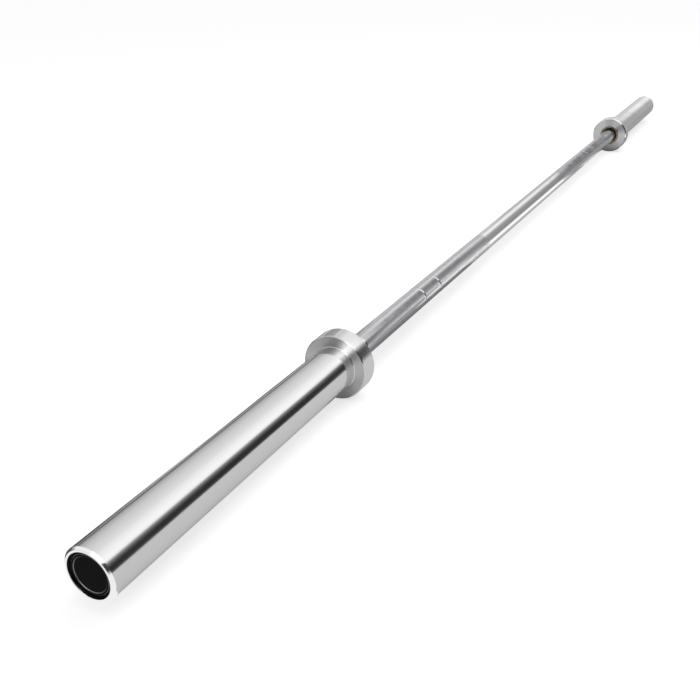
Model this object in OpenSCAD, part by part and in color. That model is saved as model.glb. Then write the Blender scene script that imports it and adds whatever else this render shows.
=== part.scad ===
// Olympic barbell with sleeves that spin on needle bearings.
// The bar lies along X, with its centre at the origin. The right side is modelled
// outwards from its collar's inner face, and the left side is its mirror image.

/* [Shaft] */
// Diameter of the bar where the hands hold it
shaft_d = 28; // [25:0.5:32]
// Distance between the inner faces of the two collars
shaft_span = 1310; // [1000:5:1320]
// Height of the step from the grip down to the bearing journal
shoulder_h = 1.5; // [1:0.25:2]
// Length of shaft past the groove of the retaining ring
shaft_tail = 4; // [2:0.5:6]
// Chamfer on the shaft's two ends
shaft_chamfer = 1; // [0.5:0.25:2]

/* [Knurling] */
// Length of the plain stretch in the middle of the bar
smooth_span = 420; // [100:10:600]
// Depth to which the bar is turned under the knurling
knurl_depth = 0.25; // [0.1:0.05:0.5]
// Length of polished stub between the knurling and each collar
stub_l = 33; // [5:1:60]
// Distance between the inner pair of ring marks
inner_mark_span = 810; // [700:5:860]
// Distance between the outer pair of ring marks
outer_mark_span = 910; // [880:5:950]
// Width of a ring mark
mark_w = 5; // [2:0.5:8]
// Depth of a ring mark below the knurling
mark_depth = 0.3; // [0.1:0.05:0.5]

/* [Sleeve] */
// Diameter of the sleeve that the plates slide on
sleeve_d = 50; // [49:0.5:51]
// Length of a sleeve with its collar
sleeve_l = 412; // [300:1:450]
// Chamfer on the sleeve's outer end
sleeve_chamfer = 2; // [1:0.25:2.75]
// Gap round the journal in the bore between the bearings
bore_gap = 1.5; // [1:0.25:2.5]
// Step from the outer bearing's seat up to the open chamber behind the end cap
chamber_step = 2; // [1.5:0.25:3]
// Diameter of the spigot that the collar is pressed on
spigot_d = 44; // [42:0.5:46]

/* [Collar] */
// Outer diameter of the collar
collar_d = 75; // [65:1:90]
// Width of the collar
collar_w = 25; // [22:1:40]
// Thickness of the collar's inner wall, where the spigot stops
collar_web = 9; // [6:0.5:12]
// Chamfer on the collar's rim at its inner face
inner_chamfer = 2; // [0.5:0.25:3]
// Chamfer on the collar's rim at its outer face, where the plates stop
outer_chamfer = 1; // [0.5:0.25:3]
// Leg of the weld bead at the foot of the sleeve
bead = 1.2; // [0.5:0.1:2]
// Depth of the groove in the sleeve that the root of the weld fills
bead_root = 0.3; // [0.1:0.05:0.6]

/* [Collar bush] */
// Length of the bronze bush
bush_l = 22; // [16:1:30]
// Wall of the bush
bush_wall = 3; // [2.5:0.25:3.5]
// Diameter of the bush's flange, seen in the collar's inner face
flange_d = 38.5; // [38:0.25:41]
// Thickness of the flange
flange_t = 3; // [2:0.5:4]
// Gap round the flange in the recess of the collar's inner face
flange_gap = 0.75; // [0.25:0.25:1.25]
// Depth of the wider bore at the mouth of the bush
mouth_l = 2.5; // [1:0.5:3]
// Width of the gap round the shaft in the mouth
mouth_w = 2.4; // [0.5:0.1:2.8]
// Chamfer on the flange's outer edge
bush_chamfer = 0.5; // [0.25:0.25:1]

/* [Needle bearings] */
// Length of a bearing's outer ring
ring_l = 30; // [24:1:36]
// Wall of the outer ring behind the needles
ring_wall = 1.4; // [1.2:0.1:2]
// Width of the lip at each end of the ring
lip_w = 2; // [1.5:0.25:2.5]
// Height of the lip above the track of the needles
lip_h = 1.2; // [1:0.1:1.4]
// Chamfer on the ring's outer edges
ring_chamfer = 0.6; // [0.3:0.1:1]
// Number of needles in a bearing
needle_n = 18; // [14:1:19]
// Diameter of a needle
needle_d = 2.5; // [2.25:0.05:2.75]
// Chamfer on a needle's ends
needle_chamfer = 0.25; // [0.1:0.05:0.5]
// Width of the cage's web at each end of its needles
web_w = 1; // [0.75:0.25:2]
// Distance from the sleeve's outer end to the outer bearing
outer_bearing_inset = 37; // [34:1:80]

/* [Washers and retaining ring] */
// Thickness of a thrust washer
washer_t = 1.5; // [1:0.25:2.5]
// Thickness of the retaining ring
clip_t = 1.2; // [1:0.1:1.75]
// Depth of the retaining ring's groove in the journal
groove_depth = 0.55; // [0.4:0.05:1]
// Width of the retaining ring, measured opposite its gap
clip_w = 3; // [2.5:0.25:3.5]
// How much narrower the retaining ring is beside its gap
clip_taper = 1.2; // [0.4:0.1:1.6]
// Width of the gap in the retaining ring
clip_gap = 1.5; // [1:0.25:3]
// Diameter of the lugs for the pliers
lug_d = 5; // [4:0.25:5.5]
// Diameter of the holes in the lugs
lug_hole_d = 2; // [1.5:0.1:2.5]

/* [End cap] */
// Diameter of the cap
cap_d = 42; // [41.5:0.5:43]
// Depth of the cap's bore in the sleeve
cap_l = 12; // [10:0.5:14]
// Depth of the cap's face below the sleeve's rim
cap_recess = 1.5; // [0:0.1:2]
// Thickness of the cap's face
cap_t = 3.5; // [3:0.5:5]
// Wall of the cap's skirt
skirt_wall = 4; // [3.5:0.25:6]
// Radius of the inner edge of the cap's raised ring
cap_ring_r = 16; // [10:0.5:16]
// Width of the raised ring
cap_ring_w = 2.5; // [1:0.25:3]
// Depth of the dished centre and of the groove round the raised ring
cap_relief = 0.7; // [0.3:0.1:0.9]
// Thickness of the seal in the cap's groove
seal_d = 2; // [1.5:0.1:2.5]

/* [Fits] */
// Gap between two pieces that are pressed together
press_gap = 0.02; // [0.01:0.01:0.05]
// Gap between two pieces that turn on each other
running_gap = 0.05; // [0.02:0.01:0.1]
// Gap between the faces of pieces that turn past each other
face_gap = 0.3; // [0.3:0.05:0.6]
// Gap round the cage, and between its windows and the needles
cage_gap = 0.3; // [0.2:0.05:0.4]
// Gap between the retaining ring and each side of its groove
clip_side_gap = 0.05; // [0.02:0.01:0.1]

/* [Hidden] */
$fn = 96;

// Radii that follow from the shaft, from the inside out
shaft_r = shaft_d / 2;
journal_r = shaft_r - shoulder_h;
groove_r = journal_r - groove_depth;
knurl_r = shaft_r - knurl_depth;
needle_r = needle_d / 2;
pitch_r = journal_r + running_gap + needle_r;
track_r = pitch_r + needle_r + running_gap;
lip_r = track_r - lip_h;
ring_r = track_r + ring_wall;
bore_r = journal_r + bore_gap;
ring_seat_r = ring_r + press_gap;
chamber_r = ring_seat_r + chamber_step;
bush_bore_r = shaft_r + running_gap;
bush_r = bush_bore_r + bush_wall;
seat_r = bush_r + press_gap;
sleeve_r = sleeve_d / 2;
spigot_r = spigot_d / 2;
cap_bore_r = cap_d / 2;
cap_r = cap_bore_r - press_gap;
seal_groove_r = cap_bore_r - seal_d;
inner_washer_r = seat_r - face_gap;
outer_washer_r = ring_r - face_gap;
bead_root_r = sleeve_r - bead_root;

// End of the knurling, measured from the middle of the bar
knurl_end = shaft_span / 2 - stub_l;

// Places along one side, measured outwards from the collar's inner face
shoulder_x = bush_l + face_gap;
inner_ring_x = shoulder_x + washer_t + face_gap;
inner_stop_x = inner_ring_x + ring_l;
outer_end_x = sleeve_l - outer_bearing_inset;
outer_ring_x = outer_end_x - ring_l;
outer_washer_x = outer_end_x + face_gap;
clip_x = outer_washer_x + washer_t;
groove_end_x = clip_x + clip_t + 2 * clip_side_gap;
shaft_end_x = groove_end_x + shaft_tail;
cap_seat_x = sleeve_l - cap_l;
seal_x = cap_seat_x + (cap_l - cap_recess - cap_t) / 2;
window_l = ring_l - 2 * (lip_w + cage_gap + web_w);
needle_l = window_l - cage_gap;

// A solid of revolution about X, from points that are [radius, place along X]
module turned(points) rotate([0, 90, 0]) rotate_extrude() polygon(points);

// Puts a side's pieces in their place: side is 1 for the right and -1 for the left
module on_side(side) mirror([side < 0 ? 1 : 0, 0, 0]) translate([shaft_span / 2, 0, 0]) children();

// A ring mark, as the outline of its groove, which has a rounded bottom
function mark(x) = [
    for (u = [-1 : 0.25 : 1]) [knurl_r - mark_depth * (1 - u * u), x + u * mark_w / 2]
];

// Outline of the right half of the shaft, from its middle to its end
half_shaft = concat(
    [[shaft_r, smooth_span / 2], [knurl_r, smooth_span / 2 + knurl_depth]],
    mark(inner_mark_span / 2),
    mark(outer_mark_span / 2),
    [
        [knurl_r, knurl_end - knurl_depth],
        [shaft_r, knurl_end],
        [shaft_r, shaft_span / 2 + shoulder_x],
        [journal_r, shaft_span / 2 + shoulder_x],
        [journal_r, shaft_span / 2 + clip_x],
        [groove_r, shaft_span / 2 + clip_x],
        [groove_r, shaft_span / 2 + groove_end_x],
        [journal_r, shaft_span / 2 + groove_end_x],
        [journal_r, shaft_span / 2 + shaft_end_x - shaft_chamfer],
        [journal_r - shaft_chamfer, shaft_span / 2 + shaft_end_x],
        [0, shaft_span / 2 + shaft_end_x]
    ]
);

// The same outline on the other side of the middle, from the end back to the middle
other_half_shaft = [for (i = [len(half_shaft) - 1 : -1 : 0]) [half_shaft[i][0], -half_shaft[i][1]]];

module shaft()
    color("silver")
    turned(concat(half_shaft, other_half_shaft));

// The tube that carries the plates, bored from both ends for its bearings
module sleeve()
    color("gainsboro")
    turned([
        [seat_r, collar_web],
        [spigot_r, collar_web],
        [spigot_r, collar_w],
        [bead_root_r, collar_w],
        [bead_root_r, collar_w + bead + press_gap],
        [sleeve_r, collar_w + bead + press_gap],
        [sleeve_r, sleeve_l - sleeve_chamfer],
        [sleeve_r - sleeve_chamfer, sleeve_l],
        [cap_bore_r, sleeve_l],
        [cap_bore_r, cap_seat_x],
        [chamber_r, cap_seat_x],
        [chamber_r, outer_end_x],
        [ring_seat_r, outer_end_x],
        [ring_seat_r, outer_ring_x],
        [bore_r, outer_ring_x],
        [bore_r, inner_stop_x],
        [ring_seat_r, inner_stop_x],
        [ring_seat_r, inner_ring_x],
        [seat_r, inner_ring_x]
    ]);

// The flange that stops the plates, with the weld bead at the foot of the sleeve
module collar() {
    rim_r = collar_d / 2;
    socket_r = spigot_r + press_gap;
    recess_r = flange_d / 2 + flange_gap;
    color("lightgray")
    turned([
        [recess_r, 0],
        [rim_r - inner_chamfer, 0],
        [rim_r, inner_chamfer],
        [rim_r, collar_w - outer_chamfer],
        [rim_r - outer_chamfer, collar_w],
        [sleeve_r + bead, collar_w],
        [sleeve_r + press_gap, collar_w + bead],
        [bead_root_r + press_gap, collar_w + bead],
        [bead_root_r + press_gap, collar_w - press_gap],
        [socket_r, collar_w - press_gap],
        [socket_r, collar_web - press_gap],
        [seat_r, collar_web - press_gap],
        [seat_r, flange_t],
        [recess_r, flange_t]
    ]);
}

// The flanged bronze bush that the collar turns on
module collar_bush()
    color("peru")
    turned([
        [bush_bore_r + mouth_w, 0],
        [flange_d / 2 - bush_chamfer, 0],
        [flange_d / 2, bush_chamfer],
        [flange_d / 2, flange_t - press_gap],
        [bush_r, flange_t - press_gap],
        [bush_r, bush_l],
        [bush_bore_r, bush_l],
        [bush_bore_r, mouth_l],
        [bush_bore_r + mouth_w, mouth_l]
    ]);

// A thrust washer on the journal, from x outwards
module thrust_washer(x, outer_r)
    color("darkgray")
    translate([x, 0, 0])
    rotate([0, 90, 0])
    difference() {
        cylinder(h = washer_t, r = outer_r);
        translate([0, 0, -1]) cylinder(h = washer_t + 2, r = journal_r + running_gap);
    }

// The bearing's outer ring, with a lip at each end that traps the cage
module bearing_ring(x)
    color("lightsteelblue")
    translate([x, 0, 0])
    turned([
        [lip_r, 0],
        [ring_r - ring_chamfer, 0],
        [ring_r, ring_chamfer],
        [ring_r, ring_l - ring_chamfer],
        [ring_r - ring_chamfer, ring_l],
        [lip_r, ring_l],
        [lip_r, ring_l - lip_w],
        [track_r, ring_l - lip_w],
        [track_r, lip_w],
        [lip_r, lip_w]
    ]);

// The cage: end rings that run inside the lips, and bars between the needles
module bearing_cage(x) {
    cage_r = journal_r + cage_gap;
    end_r = lip_r - cage_gap;
    bar_r = track_r - cage_gap;
    window_w = needle_d + cage_gap;
    color("dimgray")
    translate([x, 0, 0])
    difference() {
        turned([
            [cage_r, cage_gap],
            [end_r, cage_gap],
            [end_r, lip_w + cage_gap],
            [bar_r, lip_w + cage_gap],
            [bar_r, ring_l - lip_w - cage_gap],
            [end_r, ring_l - lip_w - cage_gap],
            [end_r, ring_l - cage_gap],
            [cage_r, ring_l - cage_gap]
        ]);
        for (i = [0 : needle_n - 1])
            rotate([i * 360 / needle_n, 0, 0])
            translate([(ring_l - window_l) / 2, -window_w / 2, 0])
            cube([window_l, window_w, track_r]);
    }
}

// The needles of one bearing, each with its two ends broken by a small chamfer
module bearing_needles(x) {
    color("white")
    for (i = [0 : needle_n - 1])
        rotate([i * 360 / needle_n, 0, 0])
        translate([x + (ring_l - needle_l) / 2, 0, pitch_r])
        turned([
            [0, 0],
            [needle_r - needle_chamfer, 0],
            [needle_r, needle_chamfer],
            [needle_r, needle_l - needle_chamfer],
            [needle_r - needle_chamfer, needle_l],
            [0, needle_l]
        ]);
}

// The external retaining ring: wide opposite its gap, with two drilled lugs
module retaining_ring() {
    inner_r = groove_r + press_gap;
    outer_r = inner_r + clip_w - clip_taper / 2;
    lug_r = inner_r + lug_d / 2;
    lug_angle = asin((lug_d + clip_gap) / 2 / lug_r);
    color("#2a2a2c")
    translate([clip_x + clip_side_gap, 0, 0])
    rotate([0, 90, 0])
    linear_extrude(clip_t)
    difference() {
        union() {
            translate([-clip_taper / 2, 0]) circle(r = outer_r);
            for (a = [-lug_angle, lug_angle])
                rotate(a) translate([lug_r, 0]) circle(d = lug_d);
        }
        circle(r = inner_r);
        translate([0, -clip_gap / 2]) square([lug_r + lug_d, clip_gap]);
        for (a = [-lug_angle, lug_angle])
            rotate(a) translate([lug_r, 0]) circle(d = lug_hole_d);
    }
}

// The cap: a dished face with one raised ring, and a skirt with the seal's groove
module end_cap() {
    face_x = sleeve_l - cap_recess;
    ring_out_r = cap_ring_r + cap_ring_w;
    color("#151516")
    turned([
        [0, face_x - cap_t],
        [cap_r - skirt_wall, face_x - cap_t],
        [cap_r - skirt_wall, cap_seat_x],
        [cap_r, cap_seat_x],
        [cap_r, seal_x - seal_d / 2 - press_gap],
        [seal_groove_r, seal_x - seal_d / 2 - press_gap],
        [seal_groove_r, seal_x + seal_d / 2 + press_gap],
        [cap_r, seal_x + seal_d / 2 + press_gap],
        [cap_r, face_x - cap_relief / 2],
        [cap_r - cap_relief / 2, face_x],
        [ring_out_r + 2 * cap_relief, face_x],
        [ring_out_r + cap_relief, face_x - cap_relief],
        [ring_out_r, face_x - cap_relief],
        [ring_out_r - cap_relief / 2, face_x],
        [cap_ring_r + cap_relief / 2, face_x],
        [cap_ring_r, face_x - cap_relief],
        [0, face_x - cap_relief]
    ]);
}

// The seal that grips the cap in its bore
module cap_seal()
    color("#202020")
    translate([seal_x, 0, 0])
    rotate([0, 90, 0])
    rotate_extrude()
    translate([cap_bore_r - seal_d / 2, 0])
    circle(d = seal_d - 2 * press_gap, $fn = 32);

module sleeve_left() on_side(-1) sleeve();
module sleeve_right() on_side(1) sleeve();
module collar_left() on_side(-1) collar();
module collar_right() on_side(1) collar();
module collar_bush_left() on_side(-1) collar_bush();
module collar_bush_right() on_side(1) collar_bush();
module inner_thrust_washer_left() on_side(-1) thrust_washer(shoulder_x, inner_washer_r);
module inner_thrust_washer_right() on_side(1) thrust_washer(shoulder_x, inner_washer_r);
module inner_bearing_ring_left() on_side(-1) bearing_ring(inner_ring_x);
module inner_bearing_ring_right() on_side(1) bearing_ring(inner_ring_x);
module inner_bearing_cage_left() on_side(-1) bearing_cage(inner_ring_x);
module inner_bearing_cage_right() on_side(1) bearing_cage(inner_ring_x);
module inner_bearing_needles_left() on_side(-1) bearing_needles(inner_ring_x);
module inner_bearing_needles_right() on_side(1) bearing_needles(inner_ring_x);
module outer_bearing_ring_left() on_side(-1) bearing_ring(outer_ring_x);
module outer_bearing_ring_right() on_side(1) bearing_ring(outer_ring_x);
module outer_bearing_cage_left() on_side(-1) bearing_cage(outer_ring_x);
module outer_bearing_cage_right() on_side(1) bearing_cage(outer_ring_x);
module outer_bearing_needles_left() on_side(-1) bearing_needles(outer_ring_x);
module outer_bearing_needles_right() on_side(1) bearing_needles(outer_ring_x);
module outer_thrust_washer_left() on_side(-1) thrust_washer(outer_washer_x, outer_washer_r);
module outer_thrust_washer_right() on_side(1) thrust_washer(outer_washer_x, outer_washer_r);
module retaining_ring_left() on_side(-1) retaining_ring();
module retaining_ring_right() on_side(1) retaining_ring();
module cap_seal_left() on_side(-1) cap_seal();
module cap_seal_right() on_side(1) cap_seal();
module end_cap_left() on_side(-1) end_cap();
module end_cap_right() on_side(1) end_cap();

shaft();
sleeve_left();
sleeve_right();
collar_left();
collar_right();
collar_bush_left();
collar_bush_right();
inner_thrust_washer_left();
inner_thrust_washer_right();
inner_bearing_ring_left();
inner_bearing_ring_right();
inner_bearing_cage_left();
inner_bearing_cage_right();
inner_bearing_needles_left();
inner_bearing_needles_right();
outer_bearing_ring_left();
outer_bearing_ring_right();
outer_bearing_cage_left();
outer_bearing_cage_right();
outer_bearing_needles_left();
outer_bearing_needles_right();
outer_thrust_washer_left();
outer_thrust_washer_right();
retaining_ring_left();
retaining_ring_right();
cap_seal_left();
cap_seal_right();
end_cap_left();
end_cap_right();
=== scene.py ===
import math

import bmesh
import bpy
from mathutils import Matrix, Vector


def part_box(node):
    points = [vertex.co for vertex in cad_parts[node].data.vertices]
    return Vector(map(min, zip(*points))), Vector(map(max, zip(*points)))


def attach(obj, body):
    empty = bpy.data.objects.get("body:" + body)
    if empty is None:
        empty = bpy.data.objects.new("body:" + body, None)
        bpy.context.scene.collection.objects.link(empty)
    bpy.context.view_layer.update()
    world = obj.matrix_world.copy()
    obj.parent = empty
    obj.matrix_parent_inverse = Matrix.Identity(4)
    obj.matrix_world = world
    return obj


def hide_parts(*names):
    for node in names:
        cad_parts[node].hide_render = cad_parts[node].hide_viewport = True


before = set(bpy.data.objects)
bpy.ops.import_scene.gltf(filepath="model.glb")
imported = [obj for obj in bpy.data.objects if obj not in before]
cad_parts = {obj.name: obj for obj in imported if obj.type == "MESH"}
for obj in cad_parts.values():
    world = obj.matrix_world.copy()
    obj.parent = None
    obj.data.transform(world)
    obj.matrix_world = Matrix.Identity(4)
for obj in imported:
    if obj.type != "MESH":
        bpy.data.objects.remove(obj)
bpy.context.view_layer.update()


# The shaft: one bar of spring steel, ground round, knurled for the hands and hard chromed. Its
# middle stays plain, two narrow rings are polished into each knurled stretch as marks for the
# hands, and its ends are turned down to the journals that the sleeves' bearings run on.
shaft_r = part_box("shaft")[1].z
shaft_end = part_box("shaft")[1].x
collar_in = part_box("collar_right")[0].x
shoulder_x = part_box("inner_thrust_washer_right")[0].x
clip_in, clip_out = (corner.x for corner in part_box("retaining_ring_right"))
shoulder_h = 0.0015
clip_groove_depth = 0.00055
journal_r = shaft_r - shoulder_h
groove_r = journal_r - clip_groove_depth
shaft_chamfer = 0.001
shaft_steps = 96
plain_half = 0.210
stub_l = 0.033
knurl_depth = 0.00025
mark_places = (0.405, 0.455)
mark_half = 0.0025
mark_depth = 0.0003
knurl_root_r = shaft_r - knurl_depth
mark_r = knurl_root_r - mark_depth
knurl_start = plain_half + knurl_depth
knurl_end = collar_in - stub_l - knurl_depth
stretches = [
    (knurl_start, mark_places[0] - mark_half),
    (mark_places[0] + mark_half, mark_places[1] - mark_half),
    (mark_places[1] + mark_half, knurl_end),
]


def turned(outline, steps, closed=True):
    """A solid of revolution about X, from the (place along X, radius) points of its outline."""
    same_place = 1e-6
    bm = bmesh.new()
    points = [bm.verts.new((x, 0, r)) for x, r in outline]
    lines = [bm.edges.new(pair) for pair in zip(points, points[1:])]
    if closed:
        lines.append(bm.edges.new((points[-1], points[0])))
    bmesh.ops.spin(bm, geom=points + lines, cent=(0, 0, 0), axis=(1, 0, 0), dvec=(0, 0, 0),
                   angle=math.tau, steps=steps, use_merge=True, use_duplicate=False)
    bmesh.ops.remove_doubles(bm, verts=bm.verts, dist=same_place)
    bmesh.ops.recalc_face_normals(bm, faces=bm.faces)
    return bm


def soften_corners(bm, width, segments=3, sharper_than=30):
    """Rounds every edge of a turned solid whose two faces meet at more than this many degrees."""
    thinnest_sliver = 2e-6
    corners = [e for e in bm.edges if e.calc_face_angle(0) > math.radians(sharper_than)]
    bmesh.ops.bevel(bm, geom=corners, affect="EDGES", offset=width, segments=segments,
                    profile=0.5, material=-1, clamp_overlap=True)
    bmesh.ops.remove_doubles(bm, verts=bm.verts, dist=thinnest_sliver)


def finished_piece(name, bm, materials, smooth=True, corner_angle=40):
    """Makes the piece's object at the origin, smooth shaded, with true flats beside its corners."""
    for face in bm.faces:
        face.smooth = smooth
    mesh = bpy.data.meshes.new(name)
    bm.to_mesh(mesh)
    bm.free()
    mesh.set_sharp_from_angle(angle=math.radians(corner_angle))
    for material in materials:
        mesh.materials.append(material)
    piece = bpy.data.objects.new(name, mesh)
    bpy.context.scene.collection.objects.link(piece)
    if smooth:
        flats = piece.modifiers.new("true flats", "WEIGHTED_NORMAL")
        flats.keep_sharp = True
    return piece


def new_material(name, colour, metallic, roughness):
    """A material and its Principled shader, with the values that are the same all over."""
    material = bpy.data.materials.new(name)
    material.use_nodes = True
    shader = material.node_tree.nodes["Principled BSDF"]
    shader.inputs["Base Color"].default_value = (*colour, 1)
    shader.inputs["Metallic"].default_value = metallic
    shader.inputs["Roughness"].default_value = roughness
    return material, shader


def lathe_lines_group():
    """Fine lines that a lathe or a belt leaves, round the X axis on any turned surface."""
    group = bpy.data.node_groups.new("lathe lines", "ShaderNodeTree")
    group.interface.new_socket("Fineness", in_out="INPUT", socket_type="NodeSocketFloat")
    group.interface.new_socket("Lines", in_out="OUTPUT", socket_type="NodeSocketFloat")
    nodes, links = group.nodes, group.links
    given = nodes.new("NodeGroupInput")
    result = nodes.new("NodeGroupOutput")
    place = nodes.new("ShaderNodeTexCoord")
    split = nodes.new("ShaderNodeSeparateXYZ")
    flat = nodes.new("ShaderNodeCombineXYZ")
    radius = nodes.new("ShaderNodeVectorMath")
    radius.operation = "LENGTH"
    across = nodes.new("ShaderNodeCombineXYZ")
    noise = nodes.new("ShaderNodeTexNoise")
    noise.noise_dimensions = "2D"
    noise.inputs["Detail"].default_value = 3
    noise.inputs["Roughness"].default_value = 0.65
    links.new(place.outputs["Object"], split.inputs[0])
    links.new(split.outputs["Y"], flat.inputs["Y"])
    links.new(split.outputs["Z"], flat.inputs["Z"])
    links.new(flat.outputs[0], radius.inputs[0])
    links.new(split.outputs["X"], across.inputs["X"])
    links.new(radius.outputs["Value"], across.inputs["Y"])
    links.new(across.outputs[0], noise.inputs["Vector"])
    links.new(given.outputs["Fineness"], noise.inputs["Scale"])
    links.new(noise.outputs[0], result.inputs["Lines"])
    return group


lathe_lines = lathe_lines_group()


def haze_group():
    """The faint uneven haze that handling and oil leave on bright metal, from low to high."""
    group = bpy.data.node_groups.new("handling haze", "ShaderNodeTree")
    for name in ("Size", "Low", "High"):
        group.interface.new_socket(name, in_out="INPUT", socket_type="NodeSocketFloat")
    group.interface.new_socket("Haze", in_out="OUTPUT", socket_type="NodeSocketFloat")
    nodes, links = group.nodes, group.links
    given = nodes.new("NodeGroupInput")
    result = nodes.new("NodeGroupOutput")
    place = nodes.new("ShaderNodeTexCoord")
    noise = nodes.new("ShaderNodeTexNoise")
    noise.inputs["Detail"].default_value = 4
    spread = nodes.new("ShaderNodeMapRange")
    spread.inputs["From Min"].default_value = 0.35
    spread.inputs["From Max"].default_value = 0.65
    links.new(place.outputs["Object"], noise.inputs["Vector"])
    links.new(given.outputs["Size"], noise.inputs["Scale"])
    links.new(noise.outputs[0], spread.inputs["Value"])
    links.new(given.outputs["Low"], spread.inputs["To Min"])
    links.new(given.outputs["High"], spread.inputs["To Max"])
    links.new(spread.outputs["Result"], result.inputs["Haze"])
    return group


handling_haze = haze_group()


def add_lathe_lines(material, shader, fineness, height):
    """Gives a material its lathe lines, as a bump of this height in metres."""
    nodes, links = material.node_tree.nodes, material.node_tree.links
    lines = nodes.new("ShaderNodeGroup")
    lines.node_tree = lathe_lines
    lines.inputs["Fineness"].default_value = fineness
    bump = nodes.new("ShaderNodeBump")
    bump.inputs["Distance"].default_value = height
    links.new(lines.outputs["Lines"], bump.inputs["Height"])
    links.new(bump.outputs["Normal"], shader.inputs["Normal"])


def add_haze(material, shader, size, low, high):
    """Gives a material its handling haze, as a roughness between low and high."""
    nodes, links = material.node_tree.nodes, material.node_tree.links
    haze = nodes.new("ShaderNodeGroup")
    haze.node_tree = handling_haze
    haze.inputs["Size"].default_value = size
    haze.inputs["Low"].default_value = low
    haze.inputs["High"].default_value = high
    links.new(haze.outputs["Haze"], shader.inputs["Roughness"])


def under_knurling(start, end):
    """The bar's outline under a knurled stretch, which the knurling's own mesh covers."""
    return [(start, knurl_root_r), (start + mark_depth, mark_r),
            (end - mark_depth, mark_r), (end, knurl_root_r)]


def mark_outline(x, steps=12):
    """A ring mark's round-bottomed groove, without the two points that it shares."""
    fractions = [2 * step / steps - 1 for step in range(1, steps)]
    return [(x + u * mark_half, knurl_root_r - mark_depth * (1 - u * u)) for u in fractions]


half_outline = [
    (plain_half, shaft_r),
    *under_knurling(*stretches[0]),
    *mark_outline(mark_places[0]),
    *under_knurling(*stretches[1]),
    *mark_outline(mark_places[1]),
    *under_knurling(*stretches[2]),
    (knurl_end + knurl_depth, shaft_r),
    (shoulder_x, shaft_r),
    (shoulder_x, journal_r),
    (clip_in, journal_r),
    (clip_in, groove_r),
    (clip_out, groove_r),
    (clip_out, journal_r),
    (shaft_end - shaft_chamfer, journal_r),
    (shaft_end, journal_r - shaft_chamfer),
    (shaft_end, 0),
]
other_half = [(-x, r) for x, r in reversed(half_outline)]
bm = turned(other_half + half_outline, shaft_steps, closed=False)

bright_chrome, shader = new_material("bright_chrome", (0.90, 0.90, 0.905),
                                     metallic=1, roughness=0.08)
add_lathe_lines(bright_chrome, shader, fineness=900, height=0.000002)
add_haze(bright_chrome, shader, size=25, low=0.05, high=0.10)

shaft = finished_piece("shaft_bar", bm, [bright_chrome])
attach(shaft, "shaft")
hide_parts("shaft")


# The knurling: two crossing sets of helical grooves, rolled into the same bar and chromed with it.
# They leave flat-topped diamonds, bright on their crowns; the grooves between them are rougher, and
# their darker colour is painted shade.
diamonds_around = 56
diamond_slope = math.sqrt(3)
groove_half_w = 0.00012
diamond_l = diamond_slope * math.tau * knurl_root_r / diamonds_around
bedded_r = mark_r - mark_depth


def put_on_radius(verts, r):
    """Moves vertices straight out from or in towards the bar's axis, to this radius."""
    for vert in verts:
        vert.co.yz *= r / vert.co.yz.length


def knurl(start, end):
    """A knurled stretch: a grid of cells is turned into diamonds, and each diamond gets a crown.

    Its ends are turned in and joined, so that it is one closed tube, bedded in the bar.
    """
    bm = turned([(start, knurl_root_r), (end, knurl_root_r)], diamonds_around, closed=False)
    along = [e for e in bm.edges if abs(e.verts[0].co.x - e.verts[1].co.x) > diamond_l]
    bmesh.ops.subdivide_edges(bm, edges=along, cuts=round((end - start) / diamond_l) - 1,
                              use_grid_fill=True)
    sides = [e for e in bm.edges if len(e.link_faces) == 2]
    poked = bmesh.ops.poke(bm, faces=bm.faces)
    put_on_radius(poked["verts"], knurl_root_r)
    bmesh.ops.dissolve_edges(bm, edges=sides, use_verts=False)
    diamonds = list(bm.faces)
    bmesh.ops.inset_individual(bm, faces=diamonds, thickness=groove_half_w, use_even_offset=True)
    for diamond in diamonds:
        diamond.material_index = 1
        put_on_radius(diamond.verts, shaft_r)
    bmesh.ops.extrude_edge_only(bm, edges=[e for e in bm.edges if e.is_boundary])
    turned_in = [e for e in bm.edges if e.is_boundary]
    put_on_radius({v for e in turned_in for v in e.verts}, bedded_r)
    bmesh.ops.bridge_loops(bm, edges=turned_in)
    bmesh.ops.recalc_face_normals(bm, faces=bm.faces)
    return bm


# The grooves' dark colour is painted shade in the knurl's creases; their higher roughness is real.
knurl_grooves_painted_shade, shader = new_material("knurl_grooves_painted_shade", (0.46, 0.46, 0.48),
                                     metallic=1, roughness=0.45)
add_haze(knurl_grooves_painted_shade, shader, size=60, low=0.40, high=0.55)
knurl_crowns, shader = new_material("knurl_crowns", (0.94, 0.94, 0.96), metallic=1, roughness=0.13)
add_haze(knurl_crowns, shader, size=60, low=0.10, high=0.16)

for side, sign in (("right", 1), ("left", -1)):
    whole = bmesh.new()
    for start, end in stretches:
        part = knurl(*sorted((sign * start, sign * end)))
        mesh = bpy.data.meshes.new("knurled stretch")
        part.to_mesh(mesh)
        part.free()
        whole.from_mesh(mesh)
        bpy.data.meshes.remove(mesh)
    finishes = [knurl_grooves_painted_shade, knurl_crowns]
    knurling = finished_piece(f"knurling_{side}", whole, finishes, smooth=False)
    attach(knurling, "shaft")


# The collar bushes: flanged rings turned from bearing bronze and pressed into the collars. They
# run on the shaft beside its shoulder, and their flange shows in the collar's inner face.
bush_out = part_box("collar_bush_right")[1].x
flange_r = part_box("collar_bush_right")[1].z
flange_t = 0.003
running_gap = 0.00005
bush_wall = 0.003
bush_mouth_w = 0.0024
bush_mouth_l = 0.0025
bush_chamfer = 0.0005
bush_softness = 0.0001
# How far past the recesses' edges the painted shade reaches.
shade_spread = 0.0001
sleeve_steps = 128
bush_bore_r = shaft_r + running_gap
bush_r = bush_bore_r + bush_wall
bush_mouth_r = bush_bore_r + bush_mouth_w

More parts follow.
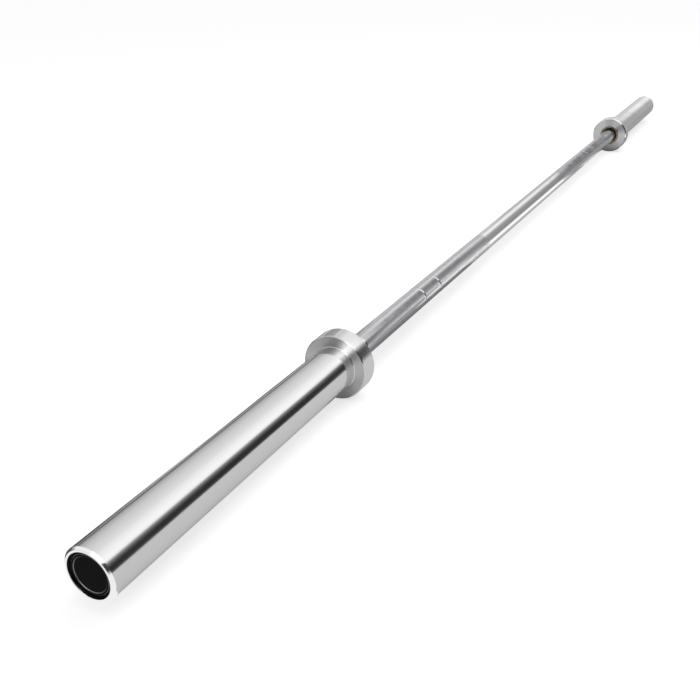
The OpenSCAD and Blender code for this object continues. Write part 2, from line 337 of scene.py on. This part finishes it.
bronze, shader = new_material("turned_bronze", (0.42, 0.34, 0.26), metallic=1, roughness=0.3)
add_lathe_lines(bronze, shader, fineness=1400, height=0.00001)
add_haze(bronze, shader, size=90, low=0.25, high=0.42)
# The near-black material is painted shade: it darkens the bush's mouth, its flange's rim and the
# collar's recess, where the gaps between the parts lie in shade.
recess_shade, shader = new_material("painted_shade_in_the_recesses", (0.03, 0.025, 0.02), metallic=1, roughness=0.4)
add_haze(recess_shade, shader, size=90, low=0.3, high=0.5)

for side, sign in (("right", 1), ("left", -1)):
    outline = [
        (collar_in, bush_mouth_r),
        (collar_in, flange_r - bush_chamfer),
        (collar_in + bush_chamfer, flange_r),
        (collar_in + flange_t, flange_r),
        (collar_in + flange_t, bush_r),
        (bush_out, bush_r),
        (bush_out, bush_bore_r),
        (collar_in + bush_mouth_l, bush_bore_r),
        (collar_in + bush_mouth_l, bush_mouth_r),
    ]
    bm = turned([(x * sign, r) for x, r in outline], sleeve_steps)
    soften_corners(bm, bush_softness)
    # Faces in the bush's mouth and on its flange's rim take the painted shade.
    for face in bm.faces:
        middle = face.calc_center_median()
        r = middle.yz.length
        behind_the_face = abs(middle.x) > collar_in + 2 * shade_spread
        in_the_mouth = r < bush_mouth_r + shade_spread and behind_the_face
        if in_the_mouth or r > flange_r - shade_spread:
            face.material_index = 1
    bush = finished_piece(f"bronze_bush_{side}", bm, [bronze, recess_shade])
    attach(bush, f"sleeve_{side}")
    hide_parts(f"collar_bush_{side}")


# The sleeves: thick steel tubes, bored from both ends for their bearings, polished and hard
# chromed. The plates slide on them, so the outer end has a chamfer that leads a plate on.
sleeve_in, sleeve_out = (corner.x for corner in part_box("sleeve_right"))
sleeve_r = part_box("sleeve_right")[1].z
bead = 0.0012
bead_root_depth = 0.0003
bead_root_r = sleeve_r - bead_root_depth
collar_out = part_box("collar_right")[1].x - bead
inner_ring = [corner.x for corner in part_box("inner_bearing_ring_right")]
outer_ring = [corner.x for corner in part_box("outer_bearing_ring_right")]
press_gap = 0.00002
bore_gap = 0.0015
chamber_step = 0.002
spigot_r = 0.022
sleeve_chamfer = 0.002
sleeve_softness = 0.0002
ring_seat_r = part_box("inner_bearing_ring_right")[1].z + press_gap
bush_seat_r = bush_r + press_gap
tube_bore_r = journal_r + bore_gap
chamber_r = ring_seat_r + chamber_step
cap_low, cap_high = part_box("end_cap_right")
cap_bore_r = cap_high.z + press_gap

sleeve_chrome, shader = new_material("sleeve_chrome", (0.90, 0.90, 0.905),
                                     metallic=1, roughness=0.1)
add_lathe_lines(sleeve_chrome, shader, fineness=700, height=0.000003)
add_haze(sleeve_chrome, shader, size=18, low=0.07, high=0.13)

for side, sign in (("right", 1), ("left", -1)):
    outline = [
        (sleeve_in, bush_seat_r),
        (sleeve_in, spigot_r),
        (collar_out, spigot_r),
        (collar_out, bead_root_r),
        (collar_out + bead + press_gap, bead_root_r),
        (collar_out + bead + press_gap, sleeve_r),
        (sleeve_out - sleeve_chamfer, sleeve_r),
        (sleeve_out, sleeve_r - sleeve_chamfer),
        (sleeve_out, cap_bore_r),
        (cap_low.x, cap_bore_r),
        (cap_low.x, chamber_r),
        (outer_ring[1], chamber_r),
        (outer_ring[1], ring_seat_r),
        (outer_ring[0], ring_seat_r),
        (outer_ring[0], tube_bore_r),
        (inner_ring[1], tube_bore_r),
        (inner_ring[1], ring_seat_r),
        (inner_ring[0], ring_seat_r),
        (inner_ring[0], bush_seat_r),
    ]
    bm = turned([(x * sign, r) for x, r in outline], sleeve_steps)
    soften_corners(bm, sleeve_softness)
    sleeve = finished_piece(f"sleeve_tube_{side}", bm, [sleeve_chrome])
    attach(sleeve, f"sleeve_{side}")
    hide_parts(f"sleeve_{side}")


# The collars: steel flanges pressed on the sleeves' inner ends, welded there and chromed with
# them. Their two faces keep the lathe's rings, and their rims are polished.
collar_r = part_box("collar_right")[1].z
rim_chamfer_in = 0.002
rim_chamfer_out = 0.001
collar_softness = 0.00025
flange_gap = 0.00075
recess_r = flange_r + flange_gap
bead_steps = 4
bead_foot_r = sleeve_r + press_gap
bead_angles = [math.pi / 2 * step / bead_steps for step in range(bead_steps + 1)]
fillet = [(collar_out + bead * (1 - math.cos(angle)), bead_foot_r + bead * (1 - math.sin(angle)))
          for angle in bead_angles]
squarely_along = 0.95

turned_chrome, shader = new_material("turned_chrome", (0.88, 0.88, 0.885),
                                     metallic=1, roughness=0.42)
shader.inputs["Anisotropic"].default_value = 0.95
shader.inputs["Anisotropic Rotation"].default_value = 0.25
tangent = turned_chrome.node_tree.nodes.new("ShaderNodeTangent")
tangent.direction_type = "RADIAL"
tangent.axis = "X"
turned_chrome.node_tree.links.new(tangent.outputs[0], shader.inputs["Tangent"])
add_lathe_lines(turned_chrome, shader, fineness=900, height=0.00003)

for side, sign in (("right", 1), ("left", -1)):
    outline = [
        (collar_in, recess_r),
        (collar_in, collar_r - rim_chamfer_in),
        (collar_in + rim_chamfer_in, collar_r),
        (collar_out - rim_chamfer_out, collar_r),
        (collar_out, collar_r - rim_chamfer_out),
        *fillet,
        (collar_out + bead, bead_root_r + press_gap),
        (collar_out - press_gap, bead_root_r + press_gap),
        (collar_out - press_gap, spigot_r + press_gap),
        (sleeve_in - press_gap, spigot_r + press_gap),
        (sleeve_in - press_gap, bush_seat_r),
        (collar_in + flange_t, bush_seat_r),
        (collar_in + flange_t, recess_r),
    ]
    bm = turned([(x * sign, r) for x, r in outline], sleeve_steps)
    soften_corners(bm, collar_softness)
    # Faces of the recess round the bush's flange take the painted shade.
    for face in bm.faces:
        if face.calc_center_median().yz.length < recess_r + shade_spread:
            face.material_index = 2
        elif abs(face.normal.x) > squarely_along:
            face.material_index = 1
    finishes = [sleeve_chrome, turned_chrome, recess_shade]
    collar = finished_piece(f"collar_flange_{side}", bm, finishes)
    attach(collar, f"sleeve_{side}")
    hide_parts(f"collar_{side}")


# The bearings: ground steel rings pressed into the sleeves, oiled steel cages that keep the
# needles apart, and hardened needles that roll on the shaft's journals. They are sealed inside.
ring_steel, shader = new_material("ground_steel", (0.66, 0.66, 0.67), metallic=1, roughness=0.25)
add_lathe_lines(ring_steel, shader, fineness=1600, height=0.000006)
add_haze(ring_steel, shader, size=60, low=0.2, high=0.35)
cage_steel, shader = new_material("oiled_cage_steel", (0.16, 0.16, 0.17),
                                  metallic=1, roughness=0.35)
add_haze(cage_steel, shader, size=120, low=0.28, high=0.45)
needle_steel, shader = new_material("polished_needles", (0.86, 0.86, 0.87),
                                    metallic=1, roughness=0.08)
add_haze(needle_steel, shader, size=200, low=0.06, high=0.12)
bearing_steels = (("ring", ring_steel), ("cage", cage_steel), ("needles", needle_steel))
for side in ("right", "left"):
    for place in ("inner", "outer"):
        for part, steel in bearing_steels:
            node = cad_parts[f"{place}_bearing_{part}_{side}"]
            node.material_slots[0].material = steel


# The thrust washers and retaining rings: ground washers on the journal on both sides of the
# bearings, and a black sprung ring in the shaft's groove that keeps the sleeve on.
washer_steel, shader = new_material("ground_washer_steel", (0.55, 0.55, 0.56),
                                    metallic=1, roughness=0.3)
add_lathe_lines(washer_steel, shader, fineness=1600, height=0.000006)
add_haze(washer_steel, shader, size=70, low=0.25, high=0.4)
spring_steel, shader = new_material("phosphated_spring_steel", (0.045, 0.045, 0.05),
                                    metallic=0.6, roughness=0.45)
add_haze(spring_steel, shader, size=150, low=0.4, high=0.6)
for side in ("right", "left"):
    for place in ("inner", "outer"):
        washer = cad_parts[f"{place}_thrust_washer_{side}"]
        washer.material_slots[0].material = washer_steel
    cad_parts[f"retaining_ring_{side}"].material_slots[0].material = spring_steel


# The end caps: moulded gloss black plugs pressed into the sleeves' ends, with a rubber ring that
# grips the bore. Their faces are bare, with one plain raised ring round a sunk centre.
cap_r = cap_high.z
cap_face = cap_high.x
cap_in = cap_low.x
cap_t = 0.0035
cap_softness = 0.00012
skirt_wall = 0.004
ring_in_r = 0.016
ring_out_r = 0.0185
relief = 0.0007
seal_groove_depth = 0.002
seal_low, seal_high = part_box("cap_seal_right")
seal_groove_r = cap_bore_r - seal_groove_depth
least_slope = 0.3

cap_gloss, shader = new_material("gloss_black_cap", (0.0015, 0.0015, 0.002),
                                 metallic=0, roughness=0.12)
shader.inputs["Specular IOR Level"].default_value = 0.02
add_haze(cap_gloss, shader, size=60, low=0.1, high=0.2)
# The lighter grey on the raised ring's slopes is a painted highlight along the ring's edges.
ring_edge_highlight, shader = new_material("cap_ring_edge_highlight", (0.22, 0.22, 0.23),
                                  metallic=0.5, roughness=0.35)
add_haze(ring_edge_highlight, shader, size=120, low=0.3, high=0.45)
seal_rubber, shader = new_material("black_rubber", (0.02, 0.02, 0.02), metallic=0, roughness=0.6)
add_haze(seal_rubber, shader, size=150, low=0.5, high=0.7)

for side, sign in (("right", 1), ("left", -1)):
    outline = [
        (cap_face - cap_t, 0),
        (cap_face - cap_t, cap_r - skirt_wall),
        (cap_in, cap_r - skirt_wall),
        (cap_in, cap_r),
        (seal_low.x - press_gap, cap_r),
        (seal_low.x - press_gap, seal_groove_r),
        (seal_high.x + press_gap, seal_groove_r),
        (seal_high.x + press_gap, cap_r),
        (cap_face - relief / 2, cap_r),
        (cap_face, cap_r - relief / 2),
        (cap_face, ring_out_r + 2 * relief),
        (cap_face - relief, ring_out_r + relief),
        (cap_face - relief, ring_out_r),
        (cap_face, ring_out_r - relief / 2),
        (cap_face, ring_in_r + relief / 2),
        (cap_face - relief, ring_in_r),
        (cap_face - relief, 0),
    ]
    bm = turned([(x * sign, r) for x, r in outline], sleeve_steps, closed=False)
    soften_corners(bm, cap_softness)
    # The raised ring's slopes take the painted highlight.
    for face in bm.faces:
        r = face.calc_center_median().yz.length
        sloping = least_slope < abs(face.normal.x) < squarely_along
        if sloping and ring_in_r - relief / 2 < r < ring_out_r + relief / 2:
            face.material_index = 1
    cap = finished_piece(f"gloss_cap_{side}", bm, [cap_gloss, ring_edge_highlight])
    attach(cap, f"sleeve_{side}")
    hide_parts(f"end_cap_{side}")
    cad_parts[f"cap_seal_{side}"].material_slots[0].material = seal_rubber


# The floor: a plain pale sweep that the collars stand on, which keeps a faint shadow of the bar.
# A light of its own lifts it to a studio sweep's white for the camera, and less for all else.
floor_z = -collar_r
floor_half = 20
lift_for_camera = 0.67
lift_for_all_else = 0.15
white = (1, 1, 1, 1)


def sheet(name, line, push):
    """A flat rectangle, from a line between two points that is pushed out by a vector."""
    bm = bmesh.new()
    edge = bm.edges.new([bm.verts.new(point) for point in line])
    pushed = bmesh.ops.extrude_edge_only(bm, edges=[edge])["geom"]
    far_points = [v for v in pushed if isinstance(v, bmesh.types.BMVert)]
    bmesh.ops.translate(bm, vec=push, verts=far_points)
    mesh = bpy.data.meshes.new(name)
    bm.to_mesh(mesh)
    bm.free()
    made = bpy.data.objects.new(name, mesh)
    bpy.context.scene.collection.objects.link(made)
    return made


def flat_sheet(name, low, high, z):
    """A level rectangle between two (x, y) corners."""
    return sheet(name, [(*low, z), (high[0], low[1], z)], (0, high[1] - low[1], 0))


def standing_sheet(name, start, end, bottom, top):
    """An upright rectangle on the line between two (x, y) points."""
    return sheet(name, [(*start, bottom), (*end, bottom)], (0, 0, top - bottom))


floor_white, shader = new_material("floor_white", (0.45, 0.45, 0.45), metallic=0, roughness=1)
shader.inputs["Specular IOR Level"].default_value = 0
shader.inputs["Emission Color"].default_value = white
nodes, links = floor_white.node_tree.nodes, floor_white.node_tree.links
seen_by = nodes.new("ShaderNodeLightPath")
lift = nodes.new("ShaderNodeMapRange")
lift.inputs["To Min"].default_value = lift_for_all_else
lift.inputs["To Max"].default_value = lift_for_camera
links.new(seen_by.outputs["Is Camera Ray"], lift.inputs["Value"])
links.new(lift.outputs["Result"], shader.inputs["Emission Strength"])
floor_corners = (-floor_half, -floor_half), (floor_half, floor_half)
floor = flat_sheet("floor", *floor_corners, floor_z)
floor.data.materials.append(floor_white)


# The cards: sheets of white, grey and black board that lie on the floor or stand round the bar. The
# grey and dark ones under and beside the bar are painted shadow, put where the bar's own shadow
# falls on the floor. Only its bright metal sees them, and the camera and the shadows don't.
def card(board, brightness):
    """Makes a sheet a card that shines evenly, and only for what reflects it."""
    glow, shader = new_material(board.name, (0, 0, 0), metallic=0, roughness=1)
    shader.inputs["Specular IOR Level"].default_value = 0
    shader.inputs["Emission Color"].default_value = white
    shader.inputs["Emission Strength"].default_value = brightness
    board.data.materials.append(glow)
    board.visible_camera = False
    board.visible_diffuse = False
    board.visible_shadow = False


card_t = 0.0005
card_z = floor_z + card_t
upper_card_z = card_z + card_t
card_line = 0.056
card_slant = (-0.603, 0.274, 0)
for name, x_from, x_to, brightness in (
        ("grey_card_before_the_far_grip", -0.85, -0.40, 0.30),
        ("white_card_before_the_grip", -0.40, 0.40, 1.1),
        ("grey_card_before_the_near_collar", 0.40, 0.60, 0.36)):
    line = [(x_from, card_line, upper_card_z), (x_to, card_line, upper_card_z)]
    card(sheet(name, line, card_slant), brightness)
# The grey and dark sheets under and beside the bar are painted shadow that its metal reflects,
# where the bar shades the floor.
for name, low, high, z, brightness in (
        ("painted_shadow_under_the_shaft", (-0.6, -0.05), (0.22, 0.03), card_z, 0.42),
        ("grey_card_beside_the_far_grip", (-0.85, 0.03), (-0.40, card_line), card_z, 0.3),
        ("pale_card_before_the_far_collar", (-0.60, -0.05), (-0.465, card_line), upper_card_z, 0.8),
        ("painted_shadow_beside_the_near_grip", (0.22, -0.02), (0.60, card_line), card_z, 0.2),
        ("painted_shadow_under_the_near_collar", (0.655, -0.02), (0.705, 0.018), card_z, 0.15),
        ("white_card_at_the_near_end", (1.045, -0.085), (1.5, 0.4), card_z, 0.95),
        ("grey_card_at_the_far_end", (-2.6, 0.01), (-0.8, 3), card_z, 0.36),
        ("painted_shadow_under_the_far_collar", (-0.70, -0.03), (-0.62, 0.03), card_z, 0.03),
        ("black_card_behind_the_near_collar", (0.4, -6), (0.70, -0.02), card_z, 0.1),
        ("black_card_behind_the_near_sleeve", (0.70, -6), (0.84, -0.35), card_z, 0.1),
        ("black_card_behind_the_near_end", (0.84, -6), (1.6, -0.09), card_z, 0.1)):
    card(flat_sheet(name, low, high, z), brightness)
for name, from_xy, to_xy, bottom, top, brightness in (
        ("white_card_over_the_near_end", (1.15, -0.04), (1.15, 0.09), 0.06, 0.3, 3),
        ("white_card_by_the_near_end", (1.1, -0.12), (1.1, -0.005), 0.025, 0.12, 0.95),
        ("grey_card_beside_the_far_collar", (-0.55, -0.3), (0.15, -0.3), floor_z, 0.4, 0.65)):
    card(standing_sheet(name, from_xy, to_xy, bottom, top), brightness)


# The studio's light: a soft dome whose bright and dark bands run along the bar, as strip lights
# and dark flags do, and one large soft lamp overhead. The camera sees the dome as plain white.
near_bands = [
    (-180, 0.12), (-82, 0.12), (-76, 0.35), (-68, 0.44), (-54, 0.55), (-42, 0.63), (-20, 0.72),
    (-1, 0.80), (8, 0.89), (26, 0.99), (38, 1.03), (46, 0.93), (52, 0.325), (57, 0.17),
    (61, 0.095), (69, 0.03), (80, 0.025), (86, 0.06), (92, 0.25)]
rim_bands = [
    (-180, 0.3), (-85, 0.3), (-63, 0.33), (-51, 0.4), (-39, 0.55), (-27, 0.7), (-15, 0.84),
    (8, 0.98), (20, 1.12), (36, 1.12), (45, 0.42), (53, 0.06), (60, 0.01), (80, 0.02),
    (87, 0.25), (92, 0.5)]
grip_bands = [
    (-180, 0.5), (-85, 0.5), (-68, 0.5), (-54, 0.68), (-42, 0.9), (-30, 1), (-20, 1),
    (-10, 0.8), (-1, 0.5), (8, 0.3), (17, 0.22), (35, 0.2), (46, 0.26), (55, 0.38),
    (66, 0.55), (78, 0.8), (87, 1)]
deep_bands = [
    (-180, 0.5), (-85, 0.5), (-68, 0.49), (-54, 0.53), (-42, 0.65), (-30, 0.83), (-20, 0.98),
    (-10, 0.95), (-1, 0.86), (8, 0.67), (17, 0.49), (26, 0.38), (35, 0.32), (61, 0.31),
    (69, 0.25), (78, 0.26), (84, 0.36), (90, 0.52)]
far_grip_bands = [
    (-180, 0.6), (-85, 0.72), (-68, 0.72), (-45, 0.55), (-30, 0.3), (-20, 0.14), (-10, 0.05),
    (0, 0.02), (10, 0.03), (40, 0.12), (60, 0.12), (80, 0.16), (90, 0.3)]
far_bands = [
    (-180, 0.6), (-85, 0.6), (-68, 0.66), (-54, 0.63), (-42, 0.70), (-30, 0.86), (-20, 0.97),
    (-1, 0.92), (8, 0.94), (17, 0.87), (26, 0.71), (35, 0.57), (43, 0.50), (61, 0.45), (90, 0.44)]
end_bands = [
    (-180, 0.4), (-48, 0.4), (-23, 0.45), (0, 0.7), (10, 0.95), (40, 0.95), (47, 0.03),
    (86, 0.03), (92, 0.5)]
camera_bands = [
    (-180, 0.05), (-40, 0.05), (-22, 0.4), (0, 0.9), (24, 1), (36, 0.04), (86, 0.04), (92, 0.5)]
world = bpy.data.worlds.new("studio")
world.use_nodes = True
bpy.context.scene.world = world
nodes, links = world.node_tree.nodes, world.node_tree.links
backdrop = nodes["Background"]
place = nodes.new("ShaderNodeTexCoord")
split = nodes.new("ShaderNodeSeparateXYZ")
links.new(place.outputs["Generated"], split.inputs[0])
round_the_bar = nodes.new("ShaderNodeMath")
round_the_bar.operation = "ARCTAN2"
links.new(split.outputs["Y"], round_the_bar.inputs[0])
links.new(split.outputs["Z"], round_the_bar.inputs[1])


def scaled(socket, from_min, from_max, to_min=0, to_max=1):
    """A world value between from_min and from_max, brought between to_min and to_max."""
    node = nodes.new("ShaderNodeMapRange")
    node.inputs["From Min"].default_value = from_min
    node.inputs["From Max"].default_value = from_max
    node.inputs["To Min"].default_value = to_min
    node.inputs["To Max"].default_value = to_max
    links.new(socket, node.inputs["Value"])
    return node.outputs["Result"]


def banded(bands):
    """The grey at each angle round the bar, where 0 is up and 90 is the camera's side."""
    ramp = nodes.new("ShaderNodeValToRGB")
    stops = ramp.color_ramp.elements
    while len(stops) < len(bands):
        stops.new(0.5)
    for stop, (degrees, grey) in zip(stops, bands):
        stop.position = degrees / 360 + 0.5
        stop.color = (grey, grey, grey, 1)
    links.new(turn, ramp.inputs[0])
    return ramp.outputs[0]


def mixed(factor, low, high, blend="MIX"):
    """A colour between low and high, or their product, each of them a socket or a plain value."""
    first_colour, second_colour, mixed_colour = 6, 7, 2
    node = nodes.new("ShaderNodeMix")
    node.data_type = "RGBA"
    node.blend_type = blend
    given = {"Factor": factor, first_colour: low, second_colour: high}
    for socket, value in given.items():
        if isinstance(value, bpy.types.NodeSocket):
            links.new(value, node.inputs[socket])
        else:
            node.inputs[socket].default_value = value
    return node.outputs[mixed_colour]


turn = scaled(round_the_bar.outputs[0], -math.pi, math.pi)
along = split.outputs["X"]
bands = banded(near_bands)
for next_bands, x_from, x_to in (
        (rim_bands, -0.785, -0.791),
        (grip_bands, -0.816, -0.824),
        (deep_bands, -0.888, -0.9),
        (far_grip_bands, -0.9415, -0.944),
        (far_bands, -0.961, -0.9635),
        (end_bands, 0.15, 0.22),
        (camera_bands, 0.6, 0.66)):
    bands = mixed(scaled(along, x_from, x_to), bands, banded(next_bands))
brightened = mixed(1.0, bands, scaled(along, -0.4, 0.1, 1, 1.2), "MULTIPLY")
dimmed_at_the_camera = scaled(along, 0.86, 0.9, 1, 0.06)
lit = mixed(1.0, brightened, dimmed_at_the_camera, "MULTIPLY")
seen_by = nodes.new("ShaderNodeLightPath")
links.new(mixed(seen_by.outputs["Is Camera Ray"], lit, white), backdrop.inputs["Color"])

lamp = bpy.data.lights.new("overhead_softbox", "AREA")
lamp.shape = "RECTANGLE"
lamp.size = 3.5
lamp.size_y = 1.2
lamp.energy = 18
softbox = bpy.data.objects.new("overhead_softbox", lamp)
softbox.location = (0, 0.5, 1.8)
softbox.rotation_euler = (math.radians(-15), 0, 0)
softbox.visible_glossy = False
bpy.context.scene.collection.objects.link(softbox)


# The camera: a normal lens that stands beyond the right sleeve's end, a little above the bar, and
# looks along the bar towards its far collar.
camera = bpy.data.objects.new("camera", bpy.data.cameras.new("camera"))
camera.location = (1.4402, 0.4170, 0.4347)
camera.rotation_euler = (math.radians(64.52), math.radians(0.45), math.radians(117.38))
camera.data.lens = 45.52
camera.data.sensor_width = 36
bpy.context.scene.collection.objects.link(camera)
bpy.context.scene.camera = camera
bpy.context.scene.view_settings.view_transform = "Standard"
